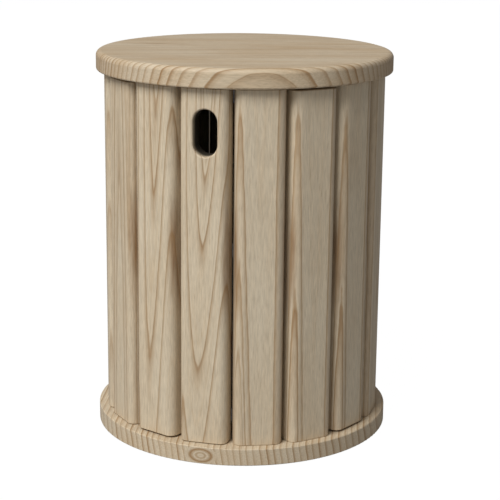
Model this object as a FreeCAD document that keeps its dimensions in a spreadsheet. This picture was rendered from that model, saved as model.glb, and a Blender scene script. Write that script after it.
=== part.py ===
import FreeCAD, Part

import math
import os

import Sketcher

# Litter bin: a ring of upright boards between a round base and a round lid.
# Millimetres. Z is up, the floor is z = 0 and the bin's axis is the Z axis.
# The gap at the door's free edge faces -Y. Boards are numbered counter-clockwise from it.

SIZES = {
    "total_height": 650, "lid_dia": 500, "lid_thick": 32, "lid_top_round": 9, "lid_under_round": 3,
    "lid_overhang": 14, "base_lip": 2, "base_thick": 29, "base_round": 1.5,
    "pad_dia": 40, "pad_thick": 6, "pad_proud": 2, "pad_inset": 77,
    "slat_thick": 34, "slat_gap": 1.76,
    "slat_face_round": 14, "slat_back_round": 2, "slat_end_round": 1.5,
    "lid_gap": 2, "short_top": 3, "raised_foot": 3, "door_foot_gap": 1,
    "slot_width": 40, "slot_length": 75, "slot_drop": 70, "slot_side": 3, "slot_round": 3,
    "hoop_width": 22, "hoop_thick": 4, "hoop_gap": 0.2,
    "lower_hoop": 30, "middle_hoop_share": 0.53, "upper_hoop_drop": 26,
    "screw_dia": 4, "screw_head_dia": 8, "screw_head_high": 2.4, "screw_bite": 22, "seat_gap": 0.1,
    "foot_screw_dia": 6, "foot_screw_head": 12, "foot_screw_long": 52, "foot_screw_sink": 8,
    "leaf_screw_dia": 3.6, "leaf_screw_head": 7.2, "leaf_screw_long": 22,
    "hinge_proud": 1, "hinge_tall": 64, "leaf_thick": 2.5, "leaf_deep": 20, "barrel_dia": 11,
    "hinge_pin_dia": 6, "run_clear": 0.08, "knuckle_gap": 0.5, "hinge_inset": 90, "leaf_lap": 1,
    "lid_hinge_inset": 6.5, "lid_hinge_drop": 6, "lid_hinge_wide": 80, "lid_leaf_thick": 2,
    "lid_barrel_dia": 10, "lid_pin_dia": 5, "lid_leaf_deep": 30, "lid_leaf_gap": 0.4,
    "batten_wide": 40, "batten_thick": 20, "batten_share": 0.56, "batten_offset_share": 0.18,
    "batten_round": 3, "batten_screw_long": 38,
    "catch_tall": 44, "catch_thick": 11, "catch_drop": 146, "strike_thick": 2.5, "strike_gap": 0.5,
    "buffer_dia": 12, "buffer_thick": 1.3, "bumper_dia": 14, "bumper_gap": 0.3,
    "liner_clear": 31.8, "liner_taper": 14, "liner_tall": 350, "liner_wall": 1.5,
    "liner_roll": 8, "liner_floor": 6, "liner_foot_gap": 0.3, "grip_long": 90, "grip_tall": 28,
    "grip_drop": 34, "block_tall": 8, "block_thick": 10, "block_wide": 30, "block_gap": 1,
    "anchor_inset": 142, "anchor_hole": 12, "anchor_head": 26, "anchor_sink": 8,
    "over": 1,
}
SLAT_COUNT = 16
DOOR_SLATS = 6
STEP = 360.0 / SLAT_COUNT
FRAME_SLATS = SLAT_COUNT - DOOR_SLATS
FRONT_GAP = -90.0
HINGE_GAP = FRONT_GAP + FRAME_SLATS * STEP
PAD_COUNT = 6
ANCHOR_COUNT = 4
BLOCK_COUNT = 3
BLOCK_START = 30.0
BUMPER_SLATS = (1, 4, 7, 10)
DOOR_LEAF_SCREW_PLACE = 0.62
DOOR_LEAF_SCREW_SHARES = (0.2, 0.8)
FIXED_LEAF_SCREW_SIDES = (-27, 27)
FIXED_LEAF_SCREW_SHARES = (0.25, 0.72)
LID_LEAF_SCREW_SIDES = (-31, -11, 11, 31)
LID_LEAF_SCREW_SHARE = 0.5
BATTEN_SCREW_SHARES = (-0.4, 0, 0.4)

doc = FreeCAD.newDocument("litter_bin")
sheet = doc.addObject("Spreadsheet::Sheet", "sizes")
for row, (alias, size) in enumerate(SIZES.items(), start=1):
    sheet.set("A%d" % row, alias)
    sheet.set("B%d" % row, str(size))
    sheet.setAlias("B%d" % row, alias)
doc.recompute()


def formula(text):
    """The sheet's aliases in a formula are written $name."""
    return text.replace("$", "sizes.")


def value(text):
    """The number that a formula gives now."""
    return float(sheet.evalExpression(formula(text)))


# Heights, radii and widths that several pieces share.
BASE_TOP = "($pad_proud + $base_thick)"
BASE_RADIUS = "($lid_dia / 2 + $base_lip)"
PAD_RADIUS = "($lid_dia / 2 + $base_lip - $pad_inset)"
ANCHOR_RADIUS = "($lid_dia / 2 + $base_lip - $anchor_inset)"
LID_UNDER = "($total_height - $lid_thick)"
SLAT_TOP = "($total_height - $lid_thick - $lid_gap)"
SLAT_FACE = "($lid_dia / 2 - $lid_overhang)"
SLAT_MIDDLE = "(" + SLAT_FACE + " - $slat_thick / 2)"
SLAT_BACK = "(" + SLAT_FACE + " - $slat_thick)"
SLAT_WIDTH = "(2 * (%s + $slat_back_round) * tan(%g deg) - $slat_gap)" % (SLAT_BACK, STEP / 2)
HOOP_OUT = "(" + SLAT_BACK + " - $hoop_gap)"
HOOP_IN = "(" + HOOP_OUT + " - $hoop_thick)"
HOOP_BOTTOMS = {
    "lower": BASE_TOP + " + $lower_hoop",
    "middle": "%s + $middle_hoop_share * (%s - %s)" % (BASE_TOP, SLAT_TOP, BASE_TOP),
    "upper": SLAT_TOP + " - $upper_hoop_drop",
}
SLOT_HEIGHT = SLAT_TOP + " - $slot_drop"
HINGE_RADIUS = "(" + SLAT_FACE + " + $hinge_proud)"
CATCH_HEIGHT = "(" + SLAT_TOP + " - $catch_drop)"
BATTEN_LONG = "($batten_share * $lid_dia)"
BATTEN_OFFSET = "($batten_offset_share * $lid_dia)"
LINER_TOP_RADIUS = "(" + HOOP_IN + " - $liner_clear)"
LINER_FOOT_RADIUS = "(" + LINER_TOP_RADIUS + " - $liner_taper)"
LINER_FOOT = "(" + BASE_TOP + " + $liner_foot_gap)"
LINER_TOP = "(" + LINER_FOOT + " + $liner_tall)"

nodes = {}


def keep(label, obj):
    """A finished piece: its label is its node's name."""
    obj.Label = label
    nodes[label] = obj
    return obj


# ---- small builders -------------------------------------------------------------------------

def new_body(name):
    return doc.addObject("PartDesign::Body", name)


def new_sketch(body, name, plane, offset="0"):
    """A sketch on one of the body's own origin planes, moved along the plane's normal."""
    role = {"XY": "XY_Plane", "XZ": "XZ_Plane", "YZ": "YZ_Plane"}[plane]
    face = [feature for feature in body.Origin.OriginFeatures if feature.Role == role][0]
    sketch = body.newObject("Sketcher::SketchObject", name)
    sketch.AttachmentSupport = (face, [""])
    sketch.MapMode = "FlatFace"
    sketch.setExpression("AttachmentOffset.Base.z", formula(offset))
    return sketch


def fix_point(sketch, geometry, point, across, up):
    """Ties one point of a sketch to the sketch's origin by two formulas."""
    for kind, text in (("DistanceX", across), ("DistanceY", up)):
        index = sketch.addConstraint(Sketcher.Constraint(kind, -1, 1, geometry, point, value(text)))
        sketch.setExpression("Constraints[%d]" % index, formula(text))


def outline(sketch, corners):
    """A closed outline of straight lines through corners given as pairs of formulas."""
    points = [FreeCAD.Vector(value(across), value(up), 0) for across, up in corners]
    count = len(points)
    for i in range(count):
        sketch.addGeometry(Part.LineSegment(points[i], points[(i + 1) % count]))
    for i in range(count):
        sketch.addConstraint(Sketcher.Constraint("Coincident", i, 2, (i + 1) % count, 1))
    for i, (across, up) in enumerate(corners):
        fix_point(sketch, i, 1, across, up)


def circle(sketch, across, up, radius):
    """A circle with its centre and radius given as formulas."""
    centre = FreeCAD.Vector(value(across), value(up), 0)
    index = sketch.addGeometry(Part.Circle(centre, FreeCAD.Vector(0, 0, 1), value(radius)))
    fix_point(sketch, index, 3, across, up)
    rim = sketch.addConstraint(Sketcher.Constraint("Radius", index, value(radius)))
    sketch.setExpression("Constraints[%d]" % rim, formula(radius))


def stadium(sketch, across, up, wide, tall):
    """An upright slot with round ends, from the formulas of its centre, width and height."""
    low = "(%s) - ((%s) - (%s)) / 2" % (up, tall, wide)
    high = "(%s) + ((%s) - (%s)) / 2" % (up, tall, wide)
    radius = value(wide) / 2
    middle = value(across)
    normal = FreeCAD.Vector(0, 0, 1)
    top = Part.Circle(FreeCAD.Vector(middle, value(high), 0), normal, radius)
    foot = Part.Circle(FreeCAD.Vector(middle, value(low), 0), normal, radius)
    sketch.addGeometry(Part.ArcOfCircle(top, 0, math.pi))
    sketch.addGeometry(Part.LineSegment(FreeCAD.Vector(middle - radius, value(high), 0),
                                        FreeCAD.Vector(middle - radius, value(low), 0)))
    sketch.addGeometry(Part.ArcOfCircle(foot, math.pi, 2 * math.pi))
    sketch.addGeometry(Part.LineSegment(FreeCAD.Vector(middle + radius, value(low), 0),
                                        FreeCAD.Vector(middle + radius, value(high), 0)))
    fix_point(sketch, 0, 3, across, high)
    fix_point(sketch, 2, 3, across, low)
    sketch.addConstraint(Sketcher.Constraint("Tangent", 0, 2, 1, 1))
    sketch.addConstraint(Sketcher.Constraint("Tangent", 1, 2, 2, 1))
    sketch.addConstraint(Sketcher.Constraint("Tangent", 2, 2, 3, 1))
    sketch.addConstraint(Sketcher.Constraint("Tangent", 3, 2, 0, 1))
    index = sketch.addConstraint(Sketcher.Constraint("Radius", 0, radius))
    sketch.setExpression("Constraints[%d]" % index, formula("(%s) / 2" % wide))


def pad(body, sketch, length):
    feature = body.newObject("PartDesign::Pad", "Pad")
    feature.Profile = sketch
    feature.setExpression("Length", formula(length))
    return feature


def pocket(body, sketch, depth, reverse=False):
    """A cut against the sketch's normal, or along it when reversed; it has to remove something."""
    doc.recompute()
    before = body.Shape.Volume
    feature = body.newObject("PartDesign::Pocket", "Pocket")
    feature.Profile = sketch
    feature.setExpression("Length", formula(depth))
    feature.Reversed = reverse
    doc.recompute()
    if body.Shape.Volume > before - 1:
        raise RuntimeError("pocket in %s cuts nothing" % body.Name)
    return feature


def revolve(body, sketch, angle=360):
    feature = body.newObject("PartDesign::Revolution", "Revolution")
    feature.Profile = sketch
    feature.ReferenceAxis = (sketch, ["V_Axis"])
    feature.Angle = angle
    return feature


def round_edges(body, radius, chosen):
    """Fillets the edges of the body's last feature that the test picks."""
    doc.recompute()
    base = body.Tip
    names = ["Edge%d" % i for i, edge in enumerate(base.Shape.Edges, start=1) if chosen(edge)]
    feature = body.newObject("PartDesign::Fillet", "Fillet")
    feature.Base = (base, names)
    feature.setExpression("Radius", formula(radius))
    return feature


TINY = 0.001


def is_at(place, wanted):
    return abs(place - wanted) < TINY


def is_level(edge, height):
    """True for an edge that lies in the level plane at this height."""
    box = edge.BoundBox
    return box.ZLength < TINY and is_at(box.ZMin, height)


def is_upright(edge):
    box = edge.BoundBox
    return box.XLength < TINY and box.YLength < TINY


def turn(obj, degrees, lift="0"):
    """Turns a piece about the bin's axis and lifts it by a formula."""
    obj.Placement = FreeCAD.Placement(FreeCAD.Vector(0, 0, value(lift)),
                                      FreeCAD.Rotation(FreeCAD.Vector(0, 0, 1), degrees))
    obj.setExpression("Placement.Base.z", formula(lift))


def cut(label, blank, *tools):
    """A piece with the holes and seats that its fasteners and neighbours need."""
    piece = blank
    for i, tool in enumerate(tools):
        step = doc.addObject("Part::Cut", "%s_cut_%d" % (label, i))
        step.Base = piece
        step.Tool = tool
        piece = step
    return keep(label, piece)


def bundle(label, links):
    group = doc.addObject("Part::Compound", label + "_set")
    group.Links = links
    return keep(label, group)


def solid_screw(dia, head_dia, head_high, length, sunk):
    """A screw along +Z from its head's seat at z = 0; a sunk head is a cone below the surface."""
    shank = Part.makeCylinder(dia / 2, length)
    if sunk:
        cone = Part.makeCone(head_dia / 2, dia / 2, (head_dia - dia) / 2)
        return shank.fuse(cone).removeSplitter()
    head = Part.makeCylinder(head_dia / 2, head_high, FreeCAD.Vector(0, 0, -head_high))
    return shank.fuse(head).removeSplitter()


def placed(shape, at, along):
    """A copy of a shape with its +Z turned along a direction and its origin moved."""
    copy = shape.copy()
    rotation = FreeCAD.Rotation(FreeCAD.Vector(0, 0, 1), along)
    copy.Placement = FreeCAD.Placement(at, rotation)
    return copy


def screws(name, screw, places):
    """Several like screws as one object of separate solids; places are pairs (at, along)."""
    group = doc.addObject("Part::Feature", name)
    group.Shape = Part.makeCompound([placed(screw, at, along) for at, along in places])
    return group


def ring_point(angle, out, side, height):
    """A point in a board's frame: out along its own radius, side counter-clockwise of it."""
    a = math.radians(angle)
    return FreeCAD.Vector(out * math.cos(a) - side * math.sin(a),
                          out * math.sin(a) + side * math.cos(a), height)


def ring_direction(angle, out, side):
    return ring_point(angle, out, side, 0)


# ---- base: a turned board on rubber pads ----------------------------------------------------

base_body = new_body("base_body")
base_profile = new_sketch(base_body, "base_profile", "XZ")
outline(base_profile, [("0", "$pad_proud"), (BASE_RADIUS, "$pad_proud"),
                       (BASE_RADIUS, BASE_TOP), ("0", BASE_TOP)])
revolve(base_body, base_profile)
round_edges(base_body, "$base_round", lambda edge: edge.BoundBox.XLength > value(BASE_RADIUS))

pad_seats = new_sketch(base_body, "pad_seats", "XY")
for i in range(PAD_COUNT):
    bearing = 360.0 / PAD_COUNT * i
    circle(pad_seats, "%s * cos(%g deg)" % (PAD_RADIUS, bearing),
           "%s * sin(%g deg)" % (PAD_RADIUS, bearing), "$pad_dia / 2")
pocket(base_body, pad_seats, "$pad_thick", reverse=True)

anchor_holes = new_sketch(base_body, "anchor_holes", "XY")
anchor_sinks = new_sketch(base_body, "anchor_sinks", "XY", BASE_TOP)
for i in range(ANCHOR_COUNT):
    bearing = 360.0 / ANCHOR_COUNT * (i + 0.5)
    spot = ("%s * cos(%g deg)" % (ANCHOR_RADIUS, bearing), "%s * sin(%g deg)" % (ANCHOR_RADIUS, bearing))
    circle(anchor_holes, spot[0], spot[1], "$anchor_hole / 2")
    circle(anchor_sinks, spot[0], spot[1], "$anchor_head / 2")
pocket(base_body, anchor_holes, BASE_TOP + " + $over", reverse=True)
pocket(base_body, anchor_sinks, "$anchor_sink")

pads = []
for i in range(PAD_COUNT):
    bearing = 360.0 / PAD_COUNT * i
    disc = doc.addObject("Part::Cylinder", "pad_%d" % (i + 1))
    disc.setExpression("Radius", formula("$pad_dia / 2"))
    disc.setExpression("Height", formula("$pad_thick"))
    disc.setExpression("Placement.Base.x", formula("%s * cos(%g deg)" % (PAD_RADIUS, bearing)))
    disc.setExpression("Placement.Base.y", formula("%s * sin(%g deg)" % (PAD_RADIUS, bearing)))
    pads.append(disc)
bundle("base_pads", pads)

foot_screw = solid_screw(value("$foot_screw_dia"), value("$foot_screw_head"),
                         value("$foot_screw_dia"), value("$foot_screw_long"), sunk=False)
foot_seat = Part.makeCylinder(value("$foot_screw_head") / 2, value("$foot_screw_sink"))
foot_places = []
for i in range(FRAME_SLATS):
    at = ring_point(FRONT_GAP + (i + 0.5) * STEP, value(SLAT_MIDDLE), 0,
                    value("$pad_proud + $foot_screw_sink"))
    foot_places.append((at, FreeCAD.Vector(0, 0, 1)))
foot_screws = keep("base_screws", screws("foot_screws", foot_screw, foot_places))
foot_seats = screws("foot_seats", foot_seat,
                    [(FreeCAD.Vector(at.x, at.y, value("$pad_proud")), up) for at, up in foot_places])
cut("base", base_body, foot_screws, foot_seats)

for i in range(BLOCK_COUNT):
    block = new_body("block_body_%d" % (i + 1))
    block_plan = new_sketch(block, "block_plan_%d" % (i + 1), "XY")
    inner = "(" + LINER_FOOT_RADIUS + " + $block_gap)"
    outline(block_plan, [(inner, "-$block_wide / 2"), (inner + " + $block_thick", "-$block_wide / 2"),
                         (inner + " + $block_thick", "$block_wide / 2"), (inner, "$block_wide / 2")])
    pad(block, block_plan, "$block_tall")
    turn(block, BLOCK_START + 360.0 / BLOCK_COUNT * i, BASE_TOP)
    keep("liner_block_%d" % (i + 1), block)


# ---- boards ---------------------------------------------------------------------------------

def slat_ends(number):
    """Foot and top of a board as formulas: lengths vary a little round the ring, four by four."""
    foot = BASE_TOP
    top = SLAT_TOP
    if number > FRAME_SLATS:
        foot += " + $door_foot_gap"
    if number % 4 == 2:
        top += " - $short_top"
    if number % 4 == 3:
        foot += " + $raised_foot - %s" % ("$door_foot_gap" if number > FRAME_SLATS else "0")
    return foot, top


def slat_blank(number):
    """A board with rounded long edges, its radius along its own +X."""
    foot, top = slat_ends(number)
    body = new_body("slat_body_%02d" % number)
    plan = new_sketch(body, "slat_plan_%02d" % number, "XY", foot)
    left = "-%s / 2" % SLAT_WIDTH
    right = "%s / 2" % SLAT_WIDTH
    outline(plan, [(SLAT_BACK, left), (SLAT_FACE, left), (SLAT_FACE, right), (SLAT_BACK, right)])
    pad(body, plan, "%s - (%s)" % (top, foot))
    face = value(SLAT_FACE)
    back = value(SLAT_BACK)
    round_edges(body, "$slat_face_round", lambda edge: is_upright(edge) and is_at(edge.BoundBox.XMin, face))
    round_edges(body, "$slat_back_round", lambda edge: is_upright(edge) and is_at(edge.BoundBox.XMin, back))
    round_edges(body, "$slat_end_round", lambda edge: is_level(edge, value(foot))
                or is_level(edge, value(top)))
    return body


hoop_screw = solid_screw(value("$screw_dia"), value("$screw_head_dia"), value("$screw_head_high"),
                         value("$seat_gap + $hoop_thick + $hoop_gap + $screw_bite"), sunk=False)
slat_screws = []
for number in range(1, SLAT_COUNT + 1):
    angle = FRONT_GAP + (number - 0.5) * STEP
    levels = [value(bottom + " + $hoop_width / 2") for bottom in HOOP_BOTTOMS.values()]
    slat_screws.append(screws("slat_screws_%02d" % number, hoop_screw, [
        (ring_point(angle, value(HOOP_IN + " - $seat_gap"), 0, level), ring_direction(angle, 1, 0))
        for level in levels]))
frame_screws = bundle("frame_screws", slat_screws[:FRAME_SLATS])
door_screws = bundle("door_screws", slat_screws[FRAME_SLATS:])

LID_AXIS_Y = "($lid_dia / 2 - $lid_hinge_inset)"
LID_AXIS_Z = "(" + LID_UNDER + " - $lid_hinge_drop)"
FIXED_LEAF_TOP = "(" + SLAT_TOP + " - $lid_leaf_gap)"
LID_PLATE_EDGE = "(" + LID_AXIS_Y + " - $lid_barrel_dia / 2 - $knuckle_gap)"
LID_LEAF_BACK = "(" + LID_PLATE_EDGE + " - $lid_leaf_deep)"

lid_hinge_seat = doc.addObject("Part::Box", "lid_hinge_seat")
lid_hinge_seat.setExpression("Length", formula("$lid_hinge_wide"))
lid_hinge_seat.setExpression("Width", formula("$lid_leaf_deep + $lid_barrel_dia"))
lid_hinge_seat.setExpression("Height", formula("$lid_leaf_thick + $lid_leaf_gap + $over"))
lid_hinge_seat.setExpression("Placement.Base.x", formula("-$lid_hinge_wide / 2"))
lid_hinge_seat.setExpression("Placement.Base.y", formula(LID_LEAF_BACK))
lid_hinge_seat.setExpression("Placement.Base.z", formula(FIXED_LEAF_TOP + " - $lid_leaf_thick"))

leaf_screw = solid_screw(value("$leaf_screw_dia"), value("$leaf_screw_head"), 0,
                         value("$leaf_screw_long"), sunk=True)
UP = FreeCAD.Vector(0, 0, 1)
DOWN = FreeCAD.Vector(0, 0, -1)
fixed_spots = [(x, value("%s + %g * $lid_leaf_deep" % (LID_LEAF_BACK, share)))
               for x in FIXED_LEAF_SCREW_SIDES for share in FIXED_LEAF_SCREW_SHARES]
lid_spots = [(x, value("%s + %g * $lid_leaf_deep" % (LID_LEAF_BACK, LID_LEAF_SCREW_SHARE)))
             for x in LID_LEAF_SCREW_SIDES]
fixed_leaf_screws = keep("lid_hinge_frame_screws", screws("fixed_leaf_screws", leaf_screw, [
    (FreeCAD.Vector(x, y, value(FIXED_LEAF_TOP)), DOWN) for x, y in fixed_spots]))
lid_leaf_screws = keep("lid_hinge_lid_screws", screws("lid_leaf_screws", leaf_screw, [
    (FreeCAD.Vector(x, y, value(LID_UNDER + " - $lid_leaf_thick")), UP) for x, y in lid_spots]))

HINGES = {"lower": BASE_TOP + " + $hinge_inset - $hinge_tall / 2",
          "upper": SLAT_TOP + " - $hinge_inset - $hinge_tall / 2"}


def side_screws(name, angle, side):
    """Screws of both hinge leaves on one side wall of a board; side is 1 or -1."""
    out = value("%s * cos(%g deg) - %g * $leaf_deep" % (HINGE_RADIUS, STEP / 2, DOOR_LEAF_SCREW_PLACE))
    wall = value(SLAT_WIDTH + " / 2 + $leaf_thick")
    places = []
    for bottom in HINGES.values():
        for share in DOOR_LEAF_SCREW_SHARES:
            height = value(bottom) + share * value("$hinge_tall")
            places.append((ring_point(angle, out, side * wall, height), ring_direction(angle, 0, -side)))
    return screws(name, leaf_screw, places)


frame_side = HINGE_GAP - STEP / 2
door_side = HINGE_GAP + STEP / 2
hinge_frame_screws = keep("door_hinge_frame_screws", side_screws("hinge_frame_screws", frame_side, 1))
hinge_door_screws = keep("door_hinge_door_screws", side_screws("hinge_door_screws", door_side, -1))

REAR_SLATS = (FRAME_SLATS - 2, FRAME_SLATS - 1)
for number in range(1, SLAT_COUNT + 1):
    angle = FRONT_GAP + (number - 0.5) * STEP
    body = slat_blank(number)
    tools = [slat_screws[number - 1]]
    if number == SLAT_COUNT:
        slot = new_sketch(body, "finger_slot", "YZ", SLAT_FACE + " + $over")
        stadium(slot, "$slot_side", SLOT_HEIGHT, "$slot_width", "$slot_length")
        pocket(body, slot, "$slat_thick + 2 * $over")
        face = value(SLAT_FACE)
        reach = value("$slot_side + $slot_width / 2") + TINY
        round_edges(body, "$slot_round", lambda edge: is_at(edge.BoundBox.XMin, face)
                    and edge.BoundBox.XLength < TINY and abs(edge.BoundBox.YMin) < reach
                    and abs(edge.BoundBox.YMax) < reach)
    turn(body, angle)
    if number <= FRAME_SLATS:
        tools.append(foot_screws)
    if abs(angle - 90) < STEP:
        tools += [lid_hinge_seat, fixed_leaf_screws]
    if abs(angle - frame_side) < 1:
        tools.append(hinge_frame_screws)
    if abs(angle - door_side) < 1:
        tools.append(hinge_door_screws)
    prefix = "slat" if number <= FRAME_SLATS else "door_slat"
    order = number if number <= FRAME_SLATS else number - FRAME_SLATS
    cut("%s_%02d" % (prefix, order), body, *tools)


# ---- hoops: flat steel bars rolled to the boards' backs -------------------------------------

def hoop(label, bottom, start, end, tool):
    body = new_body(label + "_body")
    section = new_sketch(body, label + "_section", "XZ")
    top = bottom + " + $hoop_width"
    outline(section, [(HOOP_IN, bottom), (HOOP_OUT, bottom), (HOOP_OUT, top), (HOOP_IN, top)])
    revolve(body, section, end - start)
    turn(body, start)
    cut(label, body, tool)


FRONT_LAP = 4.0
FRONT_CLEAR = 8.0
HINGE_CLEAR = 3.0
for level, bottom in HOOP_BOTTOMS.items():
    hoop("hoop_" + level, bottom, FRONT_GAP - FRONT_LAP, HINGE_GAP - HINGE_CLEAR, frame_screws)
    hoop("door_hoop_" + level, bottom, HINGE_GAP + HINGE_CLEAR, FRONT_GAP + 360 - FRONT_CLEAR, door_screws)

buffers = []
for level in ("lower", "upper"):
    at = ring_point(FRONT_GAP - FRONT_LAP / 2, value(HOOP_OUT), 0,
                    value(HOOP_BOTTOMS[level] + " + $hoop_width / 2"))
    buffers.append((at, ring_direction(FRONT_GAP - FRONT_LAP / 2, 1, 0)))


# ---- door hinges ----------------------------------------------------------------------------

def hinge_leaf(label, bottom, angle, side, thirds, tool):
    """A leaf on a board's side wall with its knuckles round the pin; thirds are the knuckles."""
    pivot_out = "%s * cos(%g deg)" % (HINGE_RADIUS, STEP / 2)
    pivot_side = "%d * %s * sin(%g deg)" % (side, HINGE_RADIUS, STEP / 2)
    near = "%d * %s / 2" % (side, SLAT_WIDTH)
    far = "%d * (%s / 2 + $leaf_thick)" % (side, SLAT_WIDTH)
    edge = pivot_out + " - $barrel_dia / 2 - $knuckle_gap"
    body = new_body(label + "_body")
    plate = new_sketch(body, label + "_plate", "XY", bottom)
    outline(plate, [(pivot_out + " - $leaf_deep", near), (edge, near), (edge, far),
                    (pivot_out + " - $leaf_deep", far)])
    pad(body, plate, "$hinge_tall")
    tall = "($hinge_tall - 2 * $knuckle_gap) / 3"
    for third in thirds:
        start = "%s + %d * (%s + $knuckle_gap)" % (bottom, third, tall)
        arm = new_sketch(body, "%s_arm_%d" % (label, third), "XY", start)
        lap = edge + " - $leaf_lap"
        outline(arm, [(lap, near), (pivot_out, near), (pivot_out, far), (lap, far)])
        pad(body, arm, tall)
        knuckle = new_sketch(body, "%s_knuckle_%d" % (label, third), "XY", start)
        circle(knuckle, pivot_out, pivot_side, "$barrel_dia / 2")
        pad(body, knuckle, tall)
    bore = new_sketch(body, label + "_bore", "XY", bottom + " - $over")
    play = " + $run_clear" if len(thirds) == 1 else ""
    circle(bore, pivot_out, pivot_side, "$hinge_pin_dia / 2" + play)
    pocket(body, bore, "$hinge_tall + 2 * $over", reverse=True)
    turn(body, angle)
    cut(label, body, tool)


for level, bottom in HINGES.items():
    hinge_leaf("door_hinge_%s_frame_leaf" % level, bottom, frame_side, 1, (0, 2), hinge_frame_screws)
    hinge_leaf("door_hinge_%s_door_leaf" % level, bottom, door_side, -1, (1,), hinge_door_screws)
    pin = doc.addObject("Part::Cylinder", "pin_" + level)
    pin.setExpression("Radius", formula("$hinge_pin_dia / 2"))
    pin.setExpression("Height", formula("$hinge_tall"))
    pin.setExpression("Placement.Base.x", formula("%s * cos(%g deg)" % (HINGE_RADIUS, HINGE_GAP)))
    pin.setExpression("Placement.Base.y", formula("%s * sin(%g deg)" % (HINGE_RADIUS, HINGE_GAP)))
    pin.setExpression("Placement.Base.z", formula(bottom))
    keep("door_hinge_%s_pin" % level, pin)


# ---- lid: a turned board with two battens and a hinge at the back ---------------------------

lid_body = new_body("lid_body")
lid_profile = new_sketch(lid_body, "lid_profile", "XZ")
outline(lid_profile, [("0", LID_UNDER), ("$lid_dia / 2", LID_UNDER),
                      ("$lid_dia / 2", "$total_height"), ("0", "$total_height")])
revolve(lid_body, lid_profile)
round_edges(lid_body, "$lid_top_round", lambda edge: is_level(edge, value("$total_height")))
round_edges(lid_body, "$lid_under_round", lambda edge: is_level(edge, value(LID_UNDER)))

batten_screw = solid_screw(value("$leaf_screw_dia"), value("$leaf_screw_head"), 0,
                           value("$batten_screw_long"), sunk=True)
batten_spots = [(side * value(BATTEN_OFFSET), share * value(BATTEN_LONG))
                for side in (-1, 1) for share in BATTEN_SCREW_SHARES]
batten_screws = keep("batten_screws", screws("batten_screw_set", batten_screw, [
    (FreeCAD.Vector(x, y, value(LID_UNDER + " - $batten_thick")), UP) for x, y in batten_spots]))
for name, side in (("left", -1), ("right", 1)):
    body = new_body("batten_body_" + name)
    plan = new_sketch(body, "batten_plan_" + name, "XY", LID_UNDER + " - $batten_thick")
    low = "%d * %s - $batten_wide / 2" % (side, BATTEN_OFFSET)
    high = "%d * %s + $batten_wide / 2" % (side, BATTEN_OFFSET)
    front = "-%s / 2" % BATTEN_LONG
    rear = "%s / 2" % BATTEN_LONG
    outline(plan, [(low, front), (high, front), (high, rear), (low, rear)])
    pad(body, plan, "$batten_thick")
    floor = value(LID_UNDER + " - $batten_thick")
    round_edges(body, "$batten_round", lambda edge: is_level(edge, floor))
    cut("lid_batten_" + name, body, batten_screws)

THIRD = "(($lid_hinge_wide - 2 * $knuckle_gap) / 3)"


def lid_leaf(label, low, high, starts, arm, tool):
    """A flat leaf between heights low and high, with knuckles that start at these X values."""
    body = new_body(label + "_body")
    plate = new_sketch(body, label + "_plate", "YZ", "-$lid_hinge_wide / 2")
    outline(plate, [(LID_LEAF_BACK, low), (LID_PLATE_EDGE, low), (LID_PLATE_EDGE, high),
                    (LID_LEAF_BACK, high)])
    pad(body, plate, "$lid_hinge_wide")
    for i, start in enumerate(starts):
        link = new_sketch(body, "%s_arm_%d" % (label, i), "YZ", start)
        outline(link, arm)
        pad(body, link, THIRD)
        knuckle = new_sketch(body, "%s_knuckle_%d" % (label, i), "YZ", start)
        circle(knuckle, LID_AXIS_Y, LID_AXIS_Z, "$lid_barrel_dia / 2")
        pad(body, knuckle, THIRD)
    bore = new_sketch(body, label + "_bore", "YZ", "-$lid_hinge_wide / 2 - $over")
    play = " + $run_clear" if len(starts) == 1 else ""
    circle(bore, LID_AXIS_Y, LID_AXIS_Z, "$lid_pin_dia / 2" + play)
    pocket(body, bore, "$lid_hinge_wide + 2 * $over", reverse=True)
    cut(label, body, tool)


inside = LID_PLATE_EDGE + " - $leaf_lap"
fixed_low = FIXED_LEAF_TOP + " - $lid_leaf_thick"
lid_leaf("lid_hinge_frame_leaf", fixed_low, FIXED_LEAF_TOP,
         ["-$lid_hinge_wide / 2", "$lid_hinge_wide / 2 - " + THIRD],
         [(inside, fixed_low), (LID_AXIS_Y, fixed_low), (LID_AXIS_Y, FIXED_LEAF_TOP),
          (inside, FIXED_LEAF_TOP)], fixed_leaf_screws)
lid_low = LID_UNDER + " - $lid_leaf_thick"
web_back = LID_AXIS_Y + " - $lid_barrel_dia / 3"
web_front = LID_AXIS_Y + " + $lid_barrel_dia / 3"
lid_leaf("lid_hinge_lid_leaf", lid_low, LID_UNDER, ["-" + THIRD + " / 2"],
         [(inside, lid_low), (web_back, lid_low), (web_back, LID_AXIS_Z), (web_front, LID_AXIS_Z),
          (web_front, LID_UNDER), (inside, LID_UNDER)], lid_leaf_screws)
lid_pin = doc.addObject("Part::Cylinder", "lid_pin")
lid_pin.Placement = FreeCAD.Placement(FreeCAD.Vector(0, 0, 0),
                                      FreeCAD.Rotation(FreeCAD.Vector(0, 1, 0), 90))
lid_pin.setExpression("Radius", formula("$lid_pin_dia / 2"))
lid_pin.setExpression("Height", formula("$lid_hinge_wide"))
lid_pin.setExpression("Placement.Base.x", formula("-$lid_hinge_wide / 2"))
lid_pin.setExpression("Placement.Base.y", formula(LID_AXIS_Y))
lid_pin.setExpression("Placement.Base.z", formula(LID_AXIS_Z))
keep("lid_hinge_pin", lid_pin)
cut("lid", lid_body, batten_screws, lid_leaf_screws)


# ---- catch, buffers and bumpers -------------------------------------------------------------

def two_way(angle, out, side):
    """Formulas of a plan point given in a board's frame."""
    across = "(%s) * cos(%g deg) - (%s) * sin(%g deg)" % (out, angle, side, angle)
    up = "(%s) * sin(%g deg) + (%s) * cos(%g deg)" % (out, angle, side, angle)
    return across, up


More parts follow.
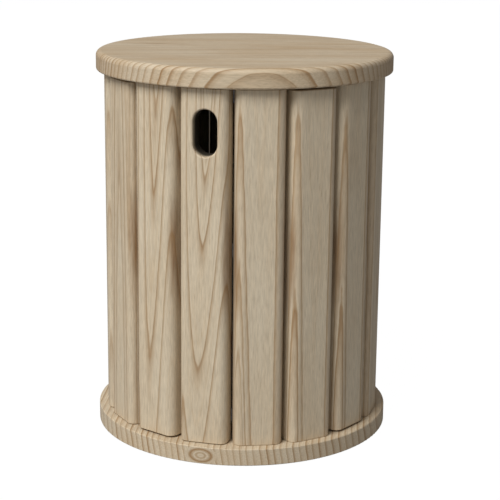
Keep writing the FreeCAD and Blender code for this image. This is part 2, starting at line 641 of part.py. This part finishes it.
frame_edge = FRONT_GAP + STEP / 2
door_edge = FRONT_GAP - STEP / 2
catch_back = SLAT_BACK + " - $catch_thick"
catch_face = SLAT_BACK + " - $strike_thick - $strike_gap"
catch_low = CATCH_HEIGHT + " - $catch_tall / 2"
strike_inner = SLAT_WIDTH + " / 6"
strike_outer = SLAT_WIDTH + " / 2 - $slat_back_round"
catch_body = new_body("catch_body")
catch_plan = new_sketch(catch_body, "catch_plan", "XY", catch_low)
outline(catch_plan, [
    two_way(frame_edge, SLAT_BACK, "0"),
    two_way(frame_edge, catch_back, "0"),
    two_way(FRONT_GAP, "(%s) / cos(%g deg)" % (catch_back, STEP / 2), "0"),
    two_way(door_edge, catch_back, strike_inner),
    two_way(door_edge, catch_face, strike_inner),
    two_way(door_edge, catch_face, strike_outer),
    two_way(frame_edge, SLAT_BACK, "-(%s)" % strike_outer),
])
pad(catch_body, catch_plan, "$catch_tall")
keep("catch_magnet", catch_body)

strike_body = new_body("strike_body")
strike_plan = new_sketch(strike_body, "strike_plan", "XY", catch_low)
outline(strike_plan, [
    two_way(door_edge, SLAT_BACK, strike_inner),
    two_way(door_edge, SLAT_BACK + " - $strike_thick", strike_inner),
    two_way(door_edge, SLAT_BACK + " - $strike_thick", strike_outer),
    two_way(door_edge, SLAT_BACK, strike_outer),
])
pad(strike_body, strike_plan, "$catch_tall")
keep("catch_strike", strike_body)

buffer_disc = Part.makeCylinder(value("$buffer_dia / 2"), value("$buffer_thick"))
keep("door_buffers", screws("buffer_set", buffer_disc, buffers))

bumpers = []
for number in BUMPER_SLATS:
    top = slat_ends(number)[1]
    at = ring_point(FRONT_GAP + (number - 0.5) * STEP, value(SLAT_MIDDLE), 0, value(top))
    tall = value("%s - $bumper_gap - (%s)" % (LID_UNDER, top))
    bumpers.append(Part.makeCylinder(value("$bumper_dia / 2"), tall, at))
bumper_set = doc.addObject("Part::Feature", "bumper_set")
bumper_set.Shape = Part.makeCompound(bumpers)
keep("lid_bumpers", bumper_set)


# ---- liner: a sheet-steel bucket with a rolled rim ------------------------------------------

liner_body = new_body("liner_body")
liner_profile = new_sketch(liner_body, "liner_profile", "XZ")
roll_middle = LINER_TOP + " - $liner_roll / 2"
outline(liner_profile, [(LINER_FOOT_RADIUS + " - $liner_wall", LINER_FOOT),
                        (LINER_FOOT_RADIUS, LINER_FOOT),
                        (LINER_TOP_RADIUS, roll_middle),
                        (LINER_TOP_RADIUS + " - $liner_wall", roll_middle)])
revolve(liner_body, liner_profile)
roll_profile = new_sketch(liner_body, "roll_profile", "XZ")
circle(roll_profile, LINER_TOP_RADIUS + " + $liner_roll / 2 - $liner_wall", roll_middle,
       "$liner_roll / 2")
revolve(liner_body, roll_profile)
for name, side in (("right", 1), ("left", -1)):
    grip = new_sketch(liner_body, "grip_" + name, "YZ", "%d * (%s + $liner_roll)" % (side, LINER_TOP_RADIUS))
    low = LINER_TOP + " - $grip_drop - $grip_tall"
    high = LINER_TOP + " - $grip_drop"
    outline(grip, [("-$grip_long / 2", low), ("$grip_long / 2", low),
                   ("$grip_long / 2", high), ("-$grip_long / 2", high)])
    pocket(liner_body, grip, LINER_TOP_RADIUS + " / 2", reverse=side < 0)
keep("liner_wall", liner_body)

floor_body = new_body("floor_body")
floor_profile = new_sketch(floor_body, "floor_profile", "XZ")
floor_low = LINER_FOOT + " + $liner_floor"
floor_high = floor_low + " + $liner_wall"
floor_edge = LINER_FOOT_RADIUS + " - $liner_wall"
outline(floor_profile, [("0", floor_low), (floor_edge, floor_low), (floor_edge, floor_high),
                        ("0", floor_high)])
revolve(floor_body, floor_profile)
keep("liner_floor", floor_body)


# ---- check and write ------------------------------------------------------------------------

doc.recompute()
for obj in doc.Objects:
    if "Invalid" in obj.State or "Error" in obj.State:
        raise RuntimeError("%s failed: %s" % (obj.Label, obj.State))
os.makedirs("parts", exist_ok=True)
for label, obj in nodes.items():
    shape = obj.Shape
    if shape.isNull() or not shape.isValid() or not shape.Solids:
        raise RuntimeError("%s has no valid solid" % label)
for label, obj in nodes.items():
    obj.Shape.exportStep("parts/%s.step" % label)
    print("%-28s %d solids %10.1f mm3" % (label, len(obj.Shape.Solids), obj.Shape.Volume))
print("nodes:", len(nodes))
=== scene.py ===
import math
import random

import bpy
from mathutils import Euler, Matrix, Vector

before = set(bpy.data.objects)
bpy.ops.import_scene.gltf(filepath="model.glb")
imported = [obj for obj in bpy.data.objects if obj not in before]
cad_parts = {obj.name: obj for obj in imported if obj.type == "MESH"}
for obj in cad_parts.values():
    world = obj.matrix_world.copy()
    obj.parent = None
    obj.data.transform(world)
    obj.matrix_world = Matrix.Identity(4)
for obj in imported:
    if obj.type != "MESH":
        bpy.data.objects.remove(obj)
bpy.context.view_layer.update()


# ---- Base disc ------------------------------------------------------------------------------
# The base is one disc turned from a pale ash plank, with its edges barely eased. Its grain runs
# from front to back, so the front of the rim shows upright growth lines, and one small knot.

ASH_PALE = (0.612, 0.518, 0.380, 1.0)
ASH_WARM = (0.520, 0.385, 0.235, 1.0)
ASH_LINE = (0.300, 0.174, 0.074, 1.0)
# Dark brown for staining, for darker end grain, and for painted shade along board edges by the gaps.
ASH_STAIN_AND_SHADE = (0.250, 0.138, 0.062, 1.0)

# How often the wood's patterns repeat to the metre: across the grain, across again, and along it.
SLOW_WANDER = (9.0, 9.0, 2.2)
QUICK_WANDER = (90.0, 90.0, 28.0)
STAIN_AND_SHADE_STREAKS = (160.0, 160.0, 9.0)

# Fibres and pores are ten times as long as they are wide. Their numbers are to the metre across
# the grain, and so is the stripes'. Clouds are so many to each slow wander.
FIBRE_STRETCH = (1.0, 1.0, 0.10)
FIBRES = 480.0
PORES = 620.0
STRIPES = 520.0
CLOUDS = 2.4

QUIVER = 0.0012
RING_OVAL = 1.65
FIBRE_SHADE = 0.62
FIBRE_DARKEST = 0.69
PORE_SHADE = 0.20
STRIPE_SHADE = 0.30
ASH_ROUGH = 0.48
ASH_ROUGH_SPREAD = 0.16
ASH_SHINE = 0.35
GRAIN_HEIGHT = 0.0004
GRAIN_STRENGTH = 0.30
FIBRE_RELIEF = 0.6
PORE_RELIEF = 0.5
LINE_RELIEF = 0.4


class Finish:
    """One material in the making. Each call adds a node and hands back its result."""

    def __init__(self, name):
        self.material = bpy.data.materials.new(name)
        self.material.use_nodes = True
        self.tree = self.material.node_tree
        self.shader = self.tree.nodes["Principled BSDF"]

    def feed(self, socket, source):
        if isinstance(source, bpy.types.NodeSocket):
            self.tree.links.new(source, socket)
        else:
            socket.default_value = source

    def add(self, kind, settings=None, **inputs):
        node = self.tree.nodes.new("ShaderNode" + kind)
        for key, setting in (settings or {}).items():
            setattr(node, key, setting)
        for key, source in inputs.items():
            self.feed(node.inputs[key.replace("_", " ")], source)
        return node

    def maths(self, operation, *sources):
        node = self.add("Math", {"operation": operation})
        for socket, source in zip(node.inputs, sources):
            self.feed(socket, source)
        return node.outputs[0]

    def place(self, source, scale=(1, 1, 1), turn=(0, 0, 0)):
        return self.add("Mapping", Vector=source, Scale=scale, Rotation=turn).outputs[0]

    def noise(self, place, scale=1.0, detail=2.0, seed=0.0):
        return self.add("TexNoise", {"noise_dimensions": "4D"}, Vector=place, W=seed, Scale=scale,
                        Detail=detail).outputs["Fac"]

    def ramp(self, share, stops):
        """A curve through pairs of place and level, both from 0 to 1."""
        node = self.add("ValToRGB", Fac=share)
        points = node.color_ramp.elements
        while len(points) < len(stops):
            points.new(0.5)
        for point, (position, level) in zip(points, sorted(stops)):
            point.position = position
            point.color = (level, level, level, 1.0)
        return node.outputs["Color"]

    def blend(self, share, first, second, kind="MIX"):
        node = self.add("Mix", {"data_type": "RGBA", "blend_type": kind})
        for socket, source in zip([s for s in node.inputs if s.enabled], (share, first, second)):
            self.feed(socket, source)
        return [s for s in node.outputs if s.enabled][0]

    def shade(self, colour, level):
        grey = self.add("CombineColor", Red=level, Green=level, Blue=level).outputs[0]
        return self.blend(1.0, colour, grey, "MULTIPLY")

    def spot(self, place, centre, size):
        """The distance from a centre: 0 there, and 1 at a size given along the three axes."""
        near = self.add("VectorMath", {"operation": "SUBTRACT"}, Vector=place)
        near.inputs[1].default_value = centre
        scaled = self.add("VectorMath", {"operation": "DIVIDE"})
        self.feed(scaled.inputs[0], near.outputs[0])
        scaled.inputs[1].default_value = size
        length = self.add("VectorMath", {"operation": "LENGTH"})
        self.feed(length.inputs[0], scaled.outputs[0])
        return length.outputs["Value"]


LINE_START = 0.0005
LINE_WIDTH = 0.0009
LINE_FADED = 0.45
LINE_FADE_END = 0.0034


def early_wood(wood, depth, rings):
    """Dark lines at given ring radii: each starts sharply and fades outwards."""
    reach = max(radius for radius, strength in rings) + 0.006
    stops = []
    for radius, strength in sorted(rings):
        stops += [(radius - LINE_START, 0.0), (radius, strength),
                  (radius + LINE_WIDTH, LINE_FADED * strength), (radius + LINE_FADE_END, 0.0)]
    return wood.ramp(wood.maths("DIVIDE", depth, reach),
                     [(max(place, 0.0) / reach, level) for place, level in stops])


ONE_YEAR = [(0.0, 1.0), (0.10, 0.95), (0.24, 0.45), (0.50, 0.12), (0.93, 0.0), (1.0, 1.0)]
WEAKEST_YEAR = 0.40


def yearly(wood, depth, ring, strength, seed):
    """Dark lines at about every ring's width, some stronger than others."""
    years = wood.maths("DIVIDE", depth, ring)
    year = wood.maths("FLOOR", years)
    season = wood.ramp(wood.maths("FRACT", years), ONE_YEAR)
    vigour = wood.add("TexWhiteNoise", {"noise_dimensions": "1D"},
                      W=wood.maths("ADD", year, seed)).outputs["Value"]
    spread = wood.maths("MULTIPLY_ADD", vigour, (1 - WEAKEST_YEAR) * strength, WEAKEST_YEAR * strength)
    return wood.maths("MULTIPLY", season, spread)


def ring_depth(wood, along, parts, pith, lean, at, wander, seed):
    """How far a point is from the tree's middle, with the wander that a real ring has."""
    drift = wood.maths("MULTIPLY_ADD", wood.noise(wood.place(along, scale=SLOW_WANDER), seed=seed),
                       4 * wander, -2 * wander)
    quiver = wood.maths("MULTIPLY_ADD", wood.noise(wood.place(along, scale=QUICK_WANDER), seed=seed + 3),
                        QUIVER, -QUIVER / 2)
    along_pith = wood.maths("SUBTRACT", parts.outputs["Z"], at)
    powers = []
    for axis, middle, slope in (("X", pith[0], lean[0]), ("Y", pith[1], lean[1])):
        upright = wood.maths("SUBTRACT", parts.outputs[axis], middle)
        distance = wood.maths("SUBTRACT", upright, wood.maths("MULTIPLY", along_pith, slope))
        powers.append(wood.maths("POWER", wood.maths("ABSOLUTE", distance), RING_OVAL))
    radius = wood.maths("POWER", wood.maths("ADD", *powers), 1 / RING_OVAL)
    return wood.maths("ADD", radius, wood.maths("ADD", drift, quiver))


KNOT_RINGS = [(0.0, 0.25), (0.14, 0.05), (0.26, 0.70), (0.38, 0.05), (0.62, 1.0), (0.76, 0.20),
              (0.90, 0.10), (1.0, 0.0)]


def knotted(wood, along, knot, lines):
    """Puts a knot's own rings over the lines round it."""
    away = wood.spot(along, *knot)
    inside = wood.ramp(away, [(0.86, 1.0), (1.0, 0.0)])
    return wood.blend(inside, lines, wood.ramp(away, KNOT_RINGS))


def ash(name, turn, pith, lean=(0.0, 0.0), at=0.3, rings=None, ring=0.010, strength=0.7, wander=0.0008,
        warmth=0.35, stains_and_shade=(), painted_shade=None, knot=None, ends=0.0, seed=0.0):
    """Ash with its growth rings in depth, as cylinders round the tree's middle. turn brings the
    grain to the material's own Z. pith is where the tree's middle crosses the height called at,
    and lean is how far it moves sideways for each metre of grain. rings are given radii, or else
    there is one ring to each ring's width. Dark blots can be laid on the wood, and those along
    the boards' edges by the gaps are partly staining and partly painted shade. ends is how much
    darker the end grain is, and a function can be given that lays painted shade over part of
    the wood."""
    wood = Finish(name)
    place = wood.add("TexCoord")
    along = wood.place(place.outputs["Object"], turn=turn)
    parts = wood.add("SeparateXYZ", Vector=along)
    depth = ring_depth(wood, along, parts, pith, lean, at, wander, seed)
    lines = early_wood(wood, depth, rings) if rings else yearly(wood, depth, ring, strength, seed)
    if knot:
        lines = knotted(wood, along, knot, lines)

    striping = wood.add("TexNoise", {"noise_dimensions": "1D"}, W=wood.maths("ADD", depth, seed),
                        Scale=STRIPES, Detail=3.0).outputs["Fac"]
    cloud = wood.ramp(wood.noise(wood.place(along, scale=SLOW_WANDER), scale=CLOUDS, detail=3.0,
                                 seed=seed + 7), [(0.38, 0.0), (0.72, 1.0)])
    fibre = wood.place(along, scale=FIBRE_STRETCH)
    fine = wood.noise(fibre, scale=FIBRES, detail=3.0, seed=seed)
    pores = wood.ramp(wood.noise(fibre, scale=PORES, detail=2.0, seed=seed + 5),
                      [(0.56, 0.0), (0.70, 1.0)])
    colour = wood.blend(wood.maths("MULTIPLY", cloud, warmth), ASH_PALE, ASH_WARM)
    colour = wood.blend(wood.ramp(striping, [(0.45, 0.0), (0.75, STRIPE_SHADE)]), colour, ASH_WARM)
    # Dark blots; those along board edges by the gaps are partly staining and partly painted shade.
    for centre, size in stains_and_shade:
        stain_and_shade_blot = wood.ramp(wood.spot(along, centre, size), [(0.0, 1.0), (0.45, 0.70), (1.0, 0.0)])
        streaky = wood.ramp(wood.noise(wood.place(along, scale=STAIN_AND_SHADE_STREAKS), seed=seed + 9),
                            [(0.30, 0.25), (0.65, 1.0)])
        colour = wood.blend(wood.maths("MULTIPLY", stain_and_shade_blot, streaky), colour, ASH_STAIN_AND_SHADE)
    colour = wood.blend(lines, colour, ASH_LINE)
    colour = wood.blend(wood.maths("MULTIPLY", pores, PORE_SHADE), colour, ASH_LINE)
    colour = wood.shade(colour, wood.maths("MULTIPLY_ADD", fine, FIBRE_SHADE, FIBRE_DARKEST))
    if ends:
        normal = wood.place(place.outputs["Normal"], turn=turn)
        facing = wood.maths("ABSOLUTE", wood.add("SeparateXYZ", Vector=normal).outputs["Z"])
        end_grain = wood.maths("MULTIPLY", wood.maths("POWER", facing, 2.0), ends)
        colour = wood.blend(end_grain, colour, ASH_STAIN_AND_SHADE)
    # Painted shade over part of the wood, where a function for it is given.
    if painted_shade:
        colour = painted_shade(wood, parts, colour)

    wood.feed(wood.shader.inputs["Base Color"], colour)
    wood.feed(wood.shader.inputs["Roughness"],
              wood.maths("MULTIPLY_ADD", fine, ASH_ROUGH_SPREAD, ASH_ROUGH))
    wood.feed(wood.shader.inputs["Specular IOR Level"], ASH_SHINE)
    fibres_stand = wood.maths("MULTIPLY", fine, FIBRE_RELIEF)
    pores_sink = wood.maths("MULTIPLY", pores, PORE_RELIEF)
    lines_sink = wood.maths("MULTIPLY", lines, LINE_RELIEF)
    height = wood.maths("SUBTRACT", wood.maths("SUBTRACT", fibres_stand, pores_sink), lines_sink)
    bump = wood.add("Bump", Strength=GRAIN_STRENGTH, Distance=GRAIN_HEIGHT, Height=height)
    wood.feed(wood.shader.inputs["Normal"], bump.outputs[0])
    return wood.material


def finish(node, material):
    """Gives a carried-over piece its material."""
    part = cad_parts[node]
    part.data.materials.clear()
    part.data.materials.append(material)
    for face in part.data.polygons:
        face.material_index = 0


GRAIN_TO_BACK = (math.radians(90), 0.0, 0.0)
DISC_RING = 0.0105
KNOT_EYE = (-0.047, -0.0165, -0.247)
KNOT_SIZE = (0.029, 0.0175, 0.06)
finish("base", ash("ash_base", GRAIN_TO_BACK, pith=(-1.15, 0.05), at=0.0, ring=DISC_RING, strength=1.0,
                   wander=0.003, warmth=0.5, knot=(KNOT_EYE, KNOT_SIZE), seed=11.0))


# ---- Rubber pads ----------------------------------------------------------------------------
# Six round pads of black rubber are pressed into seats under the base, and the bin stands on
# them. Small buffers behind the door and under the lid are the same rubber.

RUBBER_GRAIN = 900.0
RUBBER_GRAIN_HEIGHT = 0.0002
RUBBER_ROUGH = 0.8
RUBBER_GREY = 0.02


def rubber(name, grey):
    """A dull black with a fine moulded grain."""
    pad = Finish(name)
    grain = pad.noise(pad.add("TexCoord").outputs["Object"], scale=RUBBER_GRAIN, detail=3.0)
    pad.feed(pad.shader.inputs["Base Color"],
             pad.blend(grain, (grey, grey, grey, 1.0), (2 * grey, 2 * grey, 1.9 * grey, 1.0)))
    pad.feed(pad.shader.inputs["Roughness"], RUBBER_ROUGH)
    bump = pad.add("Bump", Strength=0.3, Distance=RUBBER_GRAIN_HEIGHT, Height=grain)
    pad.feed(pad.shader.inputs["Normal"], bump.outputs[0])
    return pad.material


black_rubber = rubber("black_rubber", RUBBER_GREY)
for node in ("base_pads", "door_buffers", "lid_bumpers"):
    finish(node, black_rubber)


# ---- Boards ---------------------------------------------------------------------------------
# Sixteen ash boards stand in a ring: ten are fixed and six make the curved door. Each is planed,
# with its long edges well rounded, and each is cut from its own place in the tree.

BOARDS = 16
STEP = 360 / BOARDS
FIXED = 10
FACE = 0.236
HALF_WIDTH = 0.0397
# Dark blots along a board's long edge by the gap: partly staining, partly painted shade of the gap.
LEFT_EDGE_STAIN_AND_SHADE = ((FACE - 0.008, -HALF_WIDTH, 0.335), (0.022, 0.010, 0.115))
RIGHT_EDGE_STAIN_AND_SHADE = ((FACE - 0.010, HALF_WIDTH, 0.345), (0.024, 0.012, 0.120))

# A near-black brown, painted as shade on the finger slot's wall.
ASH_SLOT_SHADE = (0.050, 0.040, 0.029, 1.0)
SLOT_SIDE = 0.003
SLOT_HEIGHT = 0.546
SLOT_STRAIGHT = 0.0175
SLOT_RADIUS = 0.020
SLOT_SHADE_SPREAD = 0.0012
SLOT_SHADE_START = 0.0035
SLOT_SHADE_FULL = 0.012


def painted_slot_shade(wood, parts, colour):
    """Painted shade on the finger slot's wall, dark deep in the slot and fading out towards the board's
    face.
    """
    across = wood.maths("SUBTRACT", parts.outputs["Y"], SLOT_SIDE)
    up = wood.maths("ABSOLUTE", wood.maths("SUBTRACT", parts.outputs["Z"], SLOT_HEIGHT))
    beyond = wood.maths("MAXIMUM", wood.maths("SUBTRACT", up, SLOT_STRAIGHT), 0.0)
    away = wood.maths("SQRT", wood.maths("ADD", wood.maths("MULTIPLY", across, across),
                                         wood.maths("MULTIPLY", beyond, beyond)))
    on_wall = wood.maths("LESS_THAN", away, SLOT_RADIUS + SLOT_SHADE_SPREAD)
    inwards = wood.maths("MULTIPLY_ADD", parts.outputs["X"], -1 / SLOT_SHADE_FULL, (FACE - SLOT_SHADE_START) / SLOT_SHADE_FULL)
    slot_shade_share = wood.maths("MULTIPLY", on_wall, wood.ramp(inwards, [(0.0, 0.0), (1.0, 1.0)]))
    return wood.blend(slot_shade_share, colour, ASH_SLOT_SHADE)


# Boards from near the tree's middle show nested arches; those from further out, straight lines.
SAWN = {
    14: dict(pith=(FACE - 0.055, 0.002), lean=(-0.01, 0.01), stains_and_shade=[RIGHT_EDGE_STAIN_AND_SHADE],
             rings=[(0.0565, 0.6), (0.0610, 0.8), (0.0655, 0.5), (0.0720, 0.6), (0.0790, 0.5)]),
    15: dict(pith=(FACE - 0.025, 0.0034), at=0.442, lean=(0.0333, 0.038), stains_and_shade=[RIGHT_EDGE_STAIN_AND_SHADE],
             rings=[(0.0165, 0.6), (0.0203, 0.8), (0.0250, 0.9), (0.0339, 0.85), (0.0445, 0.8),
                    (0.0660, 0.5)]),
    16: dict(pith=(FACE - 0.0111, 0.0038), at=0.476, lean=(0.069, 0.0352), stains_and_shade=[RIGHT_EDGE_STAIN_AND_SHADE],
             # Board 16 has painted shade on its finger slot's wall.
             painted_shade=painted_slot_shade,
             rings=[(0.0070, 0.7), (0.0111, 0.8), (0.0188, 0.9), (0.0333, 0.85), (0.0452, 0.85),
                    (0.0660, 0.5)]),
    1: dict(pith=(FACE - 0.060, 0.002), lean=(0.010, -0.014), stains_and_shade=[LEFT_EDGE_STAIN_AND_SHADE],
            rings=[(0.0672, 0.85), (0.0715, 0.8), (0.0740, 0.7), (0.0800, 0.6)]),
    2: dict(pith=(FACE - 0.058, 0.001), lean=(0.008, -0.010), stains_and_shade=[LEFT_EDGE_STAIN_AND_SHADE],
            rings=[(0.0662, 0.8), (0.0706, 1.0), (0.0742, 0.9), (0.0790, 0.6)]),
    3: dict(pith=(FACE - 0.062, 0.000), lean=(0.006, -0.012), stains_and_shade=[LEFT_EDGE_STAIN_AND_SHADE],
            rings=[(0.0695, 0.9), (0.0733, 1.0), (0.0770, 0.9), (0.0805, 0.9), (0.0850, 0.7)]),
}


FIRST_RING = 0.046
RINGS_A_BOARD = 7
RING_GAPS = (0.004, 0.009)
RING_STRENGTHS = (0.45, 0.85)
MIDDLE_DEEP = 0.050
MIDDLE_ASIDE = 0.012
BOARD_LEAN = 0.02


def chance_rings(number):
    """Ring radii for a board, a few millimetres apart."""
    luck = random.Random(number)
    radius = FIRST_RING
    rings = []
    while len(rings) < RINGS_A_BOARD:
        radius += luck.uniform(*RING_GAPS)
        rings.append((radius, luck.uniform(*RING_STRENGTHS)))
    return rings


def chance_cut(number):
    """How a board is cut from the tree where nothing else is said."""
    aside = MIDDLE_ASIDE * (-1) ** number
    lean = (BOARD_LEAN, BOARD_LEAN * (-1) ** (number // 2))
    # Every board gets staining with painted shade along one edge, by a gap.
    edge_stain_and_shade = LEFT_EDGE_STAIN_AND_SHADE if number % 2 else RIGHT_EDGE_STAIN_AND_SHADE
    return dict(pith=(FACE - MIDDLE_DEEP, aside), lean=lean, rings=chance_rings(number), stains_and_shade=[edge_stain_and_shade])


for number in range(1, BOARDS + 1):
    name = "slat_%02d" % number if number <= FIXED else "door_slat_%02d" % (number - FIXED)
    turn = (0.0, 0.0, math.radians(90 - (number - 0.5) * STEP))
    cut = SAWN.get(number) or chance_cut(number)
    finish(name, ash("ash_board_%02d" % number, turn, seed=float(number), **cut))


# ---- Steel hoops ----------------------------------------------------------------------------
# Flat bars rolled to the boards' backs hold them in a ring, three on the frame and three on the
# door. They are hot-dip galvanised, so they are a dull, slightly mottled grey.

SPANGLE_SPREAD = 0.18
ZINC_CLOUDS = 14.0
ZINC_BLUE = 1.03
ZINC_METAL = 0.85
HOOP_TONE = 0.52
HOOP_SPANGLE = 140.0


def galvanised(name, tone, spangle):
    """Zinc about as bright as tone, with spangle crystals to the metre."""
    zinc = Finish(name)
    place = zinc.add("TexCoord").outputs["Object"]
    cells = zinc.add("TexVoronoi", Vector=place, Scale=spangle).outputs["Color"]
    crystal = zinc.add("SeparateColor", Color=cells).outputs[0]
    cloud = zinc.noise(place, scale=ZINC_CLOUDS, detail=4.0)
    crystals = zinc.maths("MULTIPLY_ADD", crystal, SPANGLE_SPREAD, tone - SPANGLE_SPREAD / 2)
    level = zinc.maths("MULTIPLY", crystals, zinc.maths("MULTIPLY_ADD", cloud, 0.3, 0.85))
    blue = zinc.maths("MULTIPLY", level, ZINC_BLUE)
    zinc.feed(zinc.shader.inputs["Base Color"],
              zinc.add("CombineColor", Red=level, Green=level, Blue=blue).outputs[0])
    zinc.feed(zinc.shader.inputs["Metallic"], ZINC_METAL)
    zinc.feed(zinc.shader.inputs["Roughness"], zinc.maths("MULTIPLY_ADD", cloud, 0.2, 0.36))
    return zinc.material


hoop_zinc = galvanised("hoop_zinc", HOOP_TONE, HOOP_SPANGLE)
for level in ("lower", "middle", "upper"):
    finish("hoop_" + level, hoop_zinc)
    finish("door_hoop_" + level, hoop_zinc)


# ---- Screws ---------------------------------------------------------------------------------
# Zinc-plated wood screws: through the hoops into the boards, up through the base, through the
# hinge leaves, and up through the battens into the lid.

WEAR_SPOTS = 300.0
WEAR_SHADE = 0.8
WEAR_ROUGH = 0.15


def plated(name, colour, rough):
    """Bare metal with small worn spots, darker and smoother than the rest."""
    steel = Finish(name)
    wear = steel.noise(steel.add("TexCoord").outputs["Object"], scale=WEAR_SPOTS, detail=3.0)
    dark = tuple(channel * WEAR_SHADE for channel in colour)
    steel.feed(steel.shader.inputs["Base Color"], steel.blend(wear, (*dark, 1.0), (*colour, 1.0)))
    steel.feed(steel.shader.inputs["Metallic"], 1.0)
    steel.feed(steel.shader.inputs["Roughness"], steel.maths("MULTIPLY_ADD", wear, WEAR_ROUGH, rough))
    return steel.material


screw_zinc = plated("screw_zinc", (0.66, 0.66, 0.62), 0.25)
SCREWED = ("base_screws", "frame_screws", "door_screws", "batten_screws", "lid_hinge_frame_screws",
           "lid_hinge_lid_screws", "door_hinge_frame_screws", "door_hinge_door_screws", "catch_strike")
for node in SCREWED:
    finish(node, screw_zinc)


# ---- Hinges ---------------------------------------------------------------------------------
# Two butt hinges turn the door and one turns the lid. Leaves and pins are brushed stainless, and
# the leaves are screwed to the boards' edges and to the lid.

hinge_steel = plated("hinge_steel", (0.58, 0.58, 0.57), 0.30)
for level in ("lower", "upper"):
    for piece in ("frame_leaf", "door_leaf", "pin"):
        finish("door_hinge_%s_%s" % (level, piece), hinge_steel)
for piece in ("frame_leaf", "lid_leaf", "pin"):
    finish("lid_hinge_" + piece, hinge_steel)


# ---- Lid ------------------------------------------------------------------------------------
# The lid is a turned ash disc like the base, with its top edge rounded over and its grain from
# side to side. Two battens underneath keep it flat.

GRAIN_ACROSS = (0.0, math.radians(-90), 0.0)
LID_STREAK = ((-0.650, 0.055, -0.150), (0.012, 0.0055, 0.085))
BATTEN_RING = 0.007
finish("lid", ash("ash_lid", GRAIN_ACROSS, pith=(-0.755, 0.896), at=0.0, lean=(0.0, 0.20),
                  ring=DISC_RING, strength=1.1, wander=0.0012, warmth=0.8, stains_and_shade=[LID_STREAK],
                  ends=0.28, seed=21.0))
for side in ("left", "right"):
    finish("lid_batten_" + side, ash("ash_batten_" + side, GRAIN_TO_BACK, pith=(0.2, 0.5), at=0.0,
                                     ring=BATTEN_RING, seed=31.0))


# ---- Catch ----------------------------------------------------------------------------------
# A magnet in a black moulded block is fixed behind the first fixed board, and holds the door's
# plated strike.

finish("catch_magnet", rubber("catch_plastic", 0.03))


# ---- Liner ----------------------------------------------------------------------------------
# The liner is a tapered bucket of galvanised sheet with a rolled rim and two hand holes. Three
# small wooden blocks on the base keep it in the middle.

LINER_TONE = 0.55
LINER_SPANGLE = 60.0
BLOCK_RING = 0.006

liner_zinc = galvanised("liner_zinc", LINER_TONE, LINER_SPANGLE)
for node in ("liner_wall", "liner_floor"):
    finish(node, liner_zinc)
for number in (1, 2, 3):
    finish("liner_block_%d" % number, ash("ash_block_%d" % number, GRAIN_ACROSS, pith=(-0.1, 0.5),
                                          at=0.0, ring=BLOCK_RING, seed=41.0 + number))


# ---- Studio: floor, lights and camera -------------------------------------------------------
# A plain white floor and background, one large soft light from the front left, and an even glow
# from all round.

scene = bpy.context.scene
scene.view_settings.view_transform = "Standard"

WHITE = (1.0, 1.0, 1.0, 1.0)
FLOOR_HALF = 30.0
FLOOR_GREY = (0.38, 0.38, 0.38, 1.0)
FLOOR_ROUGH = 0.9
FLOOR_GLOW = 1.03
FLOOR_GLOW_SHARE = 0.97
corners = [(-FLOOR_HALF, -FLOOR_HALF, 0), (FLOOR_HALF, -FLOOR_HALF, 0),
           (FLOOR_HALF, FLOOR_HALF, 0), (-FLOOR_HALF, FLOOR_HALF, 0)]
floor_mesh = bpy.data.meshes.new("floor")
floor_mesh.from_pydata(corners, [], [(0, 1, 2, 3)])
floor = bpy.data.objects.new("floor", floor_mesh)
scene.collection.objects.link(floor)
paper = Finish("floor_paper")
paper.feed(paper.shader.inputs["Base Color"], FLOOR_GREY)
paper.feed(paper.shader.inputs["Roughness"], FLOOR_ROUGH)
seen = paper.add("LightPath").outputs["Is Camera Ray"]
glow = paper.add("Emission", Color=WHITE, Strength=FLOOR_GLOW).outputs[0]
both = paper.add("MixShader", Fac=paper.maths("MULTIPLY", seen, FLOOR_GLOW_SHARE))
paper.feed(both.inputs[1], paper.shader.outputs[0])
paper.feed(both.inputs[2], glow)
paper.feed(paper.tree.nodes["Material Output"].inputs["Surface"], both.outputs[0])
floor_mesh.materials.append(paper.material)

AMBIENT = 0.255
world = bpy.data.worlds.new("studio")
scene.world = world
world.use_nodes = True
sky = world.node_tree.nodes["Background"]
sky.inputs["Color"].default_value = WHITE
eye = world.node_tree.nodes.new("ShaderNodeLightPath")
level = world.node_tree.nodes.new("ShaderNodeMapRange")
level.inputs["To Min"].default_value = AMBIENT
level.inputs["To Max"].default_value = 1.0
world.node_tree.links.new(eye.outputs["Is Camera Ray"], level.inputs["Value"])
world.node_tree.links.new(level.outputs[0], sky.inputs["Strength"])

VIEW_TURN = 4.586
MIDDLE_HEIGHT = 0.325


def towards(heading, rise):
    """A direction from its heading and its rise above level, both in degrees."""
    heading, rise = math.radians(heading), math.radians(rise)
    return Vector((math.cos(heading) * math.cos(rise), math.sin(heading) * math.cos(rise), math.sin(rise)))


LAMP_LEFT_OF_VIEW = 37
LAMP_RISE = 48
LAMP_REACH = 9.0
LAMP_SIZE = 4.6
LAMP_POWER = 800
middle = Vector((0, 0, MIDDLE_HEIGHT))
lamp_data = bpy.data.lights.new("key", "AREA")
lamp_data.size = LAMP_SIZE
lamp_data.energy = LAMP_POWER
lamp = bpy.data.objects.new("key", lamp_data)
scene.collection.objects.link(lamp)
to_lamp = towards(-90 + VIEW_TURN - LAMP_LEFT_OF_VIEW, LAMP_RISE)
lamp.location = middle + to_lamp * LAMP_REACH
lamp.rotation_euler = to_lamp.to_track_quat("Z", "Y").to_euler()

CAMERA_REACH = 2.647
CAMERA_RISE = 13.934
CAMERA_LENS = 109.745
CAMERA_SENSOR = 36.0
CAMERA_TILT = (75.561, -0.556, 4.462)
camera_data = bpy.data.cameras.new("camera")
camera_data.lens = CAMERA_LENS
camera_data.sensor_width = CAMERA_SENSOR
camera_data.clip_start = 0.1
camera_data.clip_end = 200.0
camera = bpy.data.objects.new("camera", camera_data)
scene.collection.objects.link(camera)
camera.location = middle + towards(-90 + VIEW_TURN, CAMERA_RISE) * CAMERA_REACH
camera.rotation_euler = Euler([math.radians(angle) for angle in CAMERA_TILT])
scene.camera = camera
